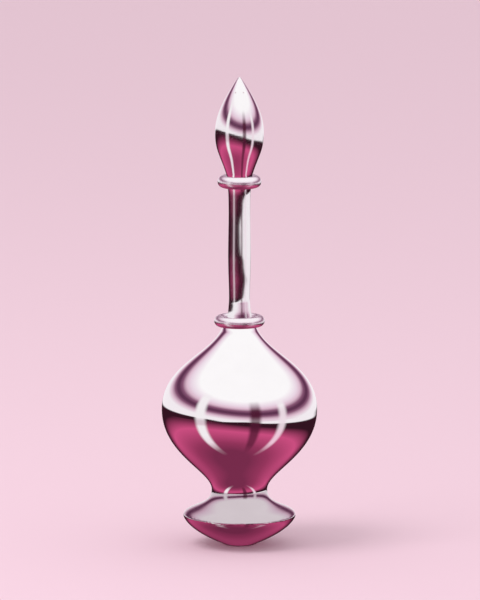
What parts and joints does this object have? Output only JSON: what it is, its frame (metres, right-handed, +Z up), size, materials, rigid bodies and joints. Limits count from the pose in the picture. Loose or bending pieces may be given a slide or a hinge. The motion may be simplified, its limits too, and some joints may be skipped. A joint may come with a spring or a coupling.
{
  "type": "rosewater sprinkler",
  "caption": "Long-necked, bellied metal flask on a weighted foot. The neck unscrews for filling, and the pierced bud at the top lets rosewater out in drops.",
  "frame": {"origin": "centre of the felt under the foot, where the axis meets the surface that the sprinkler stands on", "axes": "+Z up along the axis that every piece is turned round"},
  "size_m": [0.0922, 0.0922, 0.28],
  "materials": {
    "silver": "mirror-polished silver plate",
    "brass": "turned brass, lightly tarnished",
    "steel": "plain steel",
    "iron": "rough casting",
    "rubber": "soft moulded washer",
    "felt": "wool felt"
  },
  "bodies": {
    "vessel": {"base_pad": "felt", "foot_bowl": "silver", "foot_cone": "silver", "foot_weight": "iron", "tie_bolt": "steel", "tie_washer": "steel", "spacer_tube": "steel", "bottom_boss": "brass", "body_bowl": "silver", "body_shoulder": "silver", "mouth_socket": "brass"},
    "neck_seal": {"neck_washer": "rubber"},
    "neck": {"shoulder_ring": "silver", "neck_tube": "silver", "neck_spigot": "brass", "collar_ring": "silver", "neck_nipple": "brass"},
    "head_seal": {"head_washer": "rubber"},
    "head": {"head_socket": "brass", "head_cup": "silver", "head_cone": "silver"}
  },
  "joints": [
    {"name": "neck_lift", "type": "slide", "parent": "vessel", "child": "neck_seal", "axis": [0, 0, 1], "range_m": [0, 0.0101]},
    {"name": "neck_unscrew", "type": "hinge", "parent": "neck_seal", "child": "neck", "pos_m": [0, 0, 0.1313], "axis": [0, 0, 1], "range_deg": [0, 1440]},
    {"name": "head_lift", "type": "slide", "parent": "neck", "child": "head_seal", "axis": [0, 0, 1], "range_m": [0, 0.0081]},
    {"name": "head_unscrew", "type": "hinge", "parent": "head_seal", "child": "head", "pos_m": [0, 0, 0.2194], "axis": [0, 0, 1], "range_deg": [0, 1440]}
  ],
  "couplings": [
    {"joint": "neck_lift", "follows": "neck_unscrew", "m_per_rad": 0.00039789},
    {"joint": "head_lift", "follows": "head_unscrew", "m_per_rad": 0.00031831}
  ]
}
